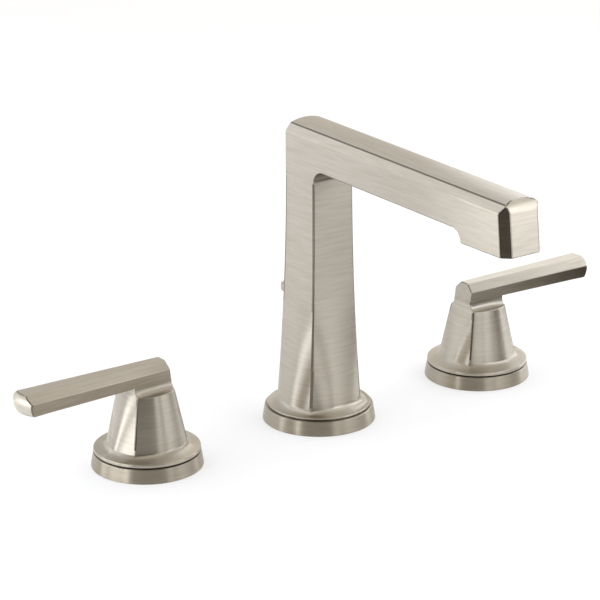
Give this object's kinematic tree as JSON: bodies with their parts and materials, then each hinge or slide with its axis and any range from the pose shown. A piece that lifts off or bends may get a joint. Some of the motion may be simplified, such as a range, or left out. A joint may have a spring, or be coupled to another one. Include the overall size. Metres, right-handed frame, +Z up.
{
  "type": "widespread basin faucet",
  "caption": "Deck-mounted basin faucet: a tall square spout with a long chamfered arm, and a separate lever handle on each side, each unit on its own round base ring.",
  "frame": {"origin": "centre of the spout's base ring, on the top of the deck", "axes": "+Z up, the spout reaches along -Y towards the user, hot handle at -X, cold handle at +X"},
  "size_m": [0.343, 0.181, 0.224],
  "materials": {
    "brushed_nickel": "brushed",
    "brass": "machined",
    "zinc_steel": "zinc plated",
    "black_nylon": "moulded",
    "white_plastic": "moulded",
    "rubber": "matte",
    "clear_tube": "extruded",
    "ceramic": "lapped"
  },
  "bodies": {
    "fixed_body": {"spout_body": "brushed_nickel", "spout_base_ring": "brushed_nickel", "aerator_housing": "brushed_nickel", "right_base_ring": "brushed_nickel", "left_base_ring": "brushed_nickel", "spout_shank": "brass", "spout_mounting_nut": "brass", "right_flange_nut": "brass", "right_valve_body": "brass", "right_bonnet_nut": "brass", "right_mounting_nut": "brass", "left_flange_nut": "brass", "left_valve_body": "brass", "left_bonnet_nut": "brass", "left_mounting_nut": "brass", "spout_clamp_washer": "zinc_steel", "right_clamp_washer": "zinc_steel", "left_clamp_washer": "zinc_steel", "spout_tee": "black_nylon", "lift_rod_guide": "black_nylon", "right_glide_ring": "black_nylon", "left_glide_ring": "black_nylon", "aerator_insert": "white_plastic", "right_cartridge_housing": "white_plastic", "left_cartridge_housing": "white_plastic", "spout_gasket": "rubber", "aerator_gasket": "rubber", "spout_rubber_washer": "rubber", "spout_tee_seal": "rubber", "right_gasket": "rubber", "right_seat_seal": "rubber", "right_rubber_washer": "rubber", "left_gasket": "rubber", "left_seat_seal": "rubber", "left_rubber_washer": "rubber", "waterway_tube": "clear_tube", "right_fixed_disc": "ceramic", "left_fixed_disc": "ceramic"},
    "right_handle_body": {"right_handle": "brushed_nickel", "right_set_screw": "zinc_steel", "right_stem": "brass", "right_moving_disc": "ceramic"},
    "left_handle_body": {"left_handle": "brushed_nickel", "left_set_screw": "zinc_steel", "left_stem": "brass", "left_moving_disc": "ceramic"},
    "lift_rod_body": {"lift_rod": "brushed_nickel", "lift_rod_knob": "brushed_nickel"}
  },
  "joints": [
    {"name": "right_handle_turn", "type": "hinge", "parent": "fixed_body", "child": "right_handle_body", "pos_m": [0.1016, 0, 0.02], "axis": [0, 0, 1], "range_deg": [-90, 0]},
    {"name": "left_handle_turn", "type": "hinge", "parent": "fixed_body", "child": "left_handle_body", "pos_m": [-0.1016, 0, 0.02], "axis": [0, 0, 1], "range_deg": [0, 90]},
    {"name": "lift_rod_slide", "type": "slide", "parent": "fixed_body", "child": "lift_rod_body", "axis": [0, 0, 1], "range_m": [0, 0.02]}
  ]
}
